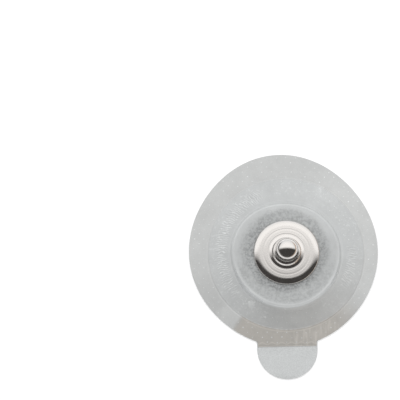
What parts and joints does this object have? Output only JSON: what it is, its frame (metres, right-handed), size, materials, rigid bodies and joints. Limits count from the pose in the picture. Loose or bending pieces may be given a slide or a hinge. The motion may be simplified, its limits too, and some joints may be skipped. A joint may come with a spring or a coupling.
{
  "type": "ecg electrode",
  "caption": "Round ECG monitoring electrode: translucent adhesive tape disc with a metal snap stud over a raised gel pad, on a release liner with a half-round tab.",
  "frame": {"origin": "on the snap stud's axis, on the underside of the release liner", "axes": "+Z is the way the snap stud points, +Y runs from the liner's tab across the disc, +X completes the right-handed frame"},
  "size_m": [0.03, 0.0353, 0.0046],
  "materials": {
    "nickel_plate": "polished",
    "silver_chloride": "matte",
    "tape_film": "satin",
    "clear_film": "glossy",
    "gel_sponge": "matte",
    "liner_sheet": "matte"
  },
  "bodies": {
    "root": {"snap_stud": "nickel_plate", "sensor_eyelet": "silver_chloride", "backing_tape": "tape_film", "stiffening_disc": "clear_film", "gel_pad": "gel_sponge", "release_liner": "liner_sheet"}
  },
  "joints": []
}
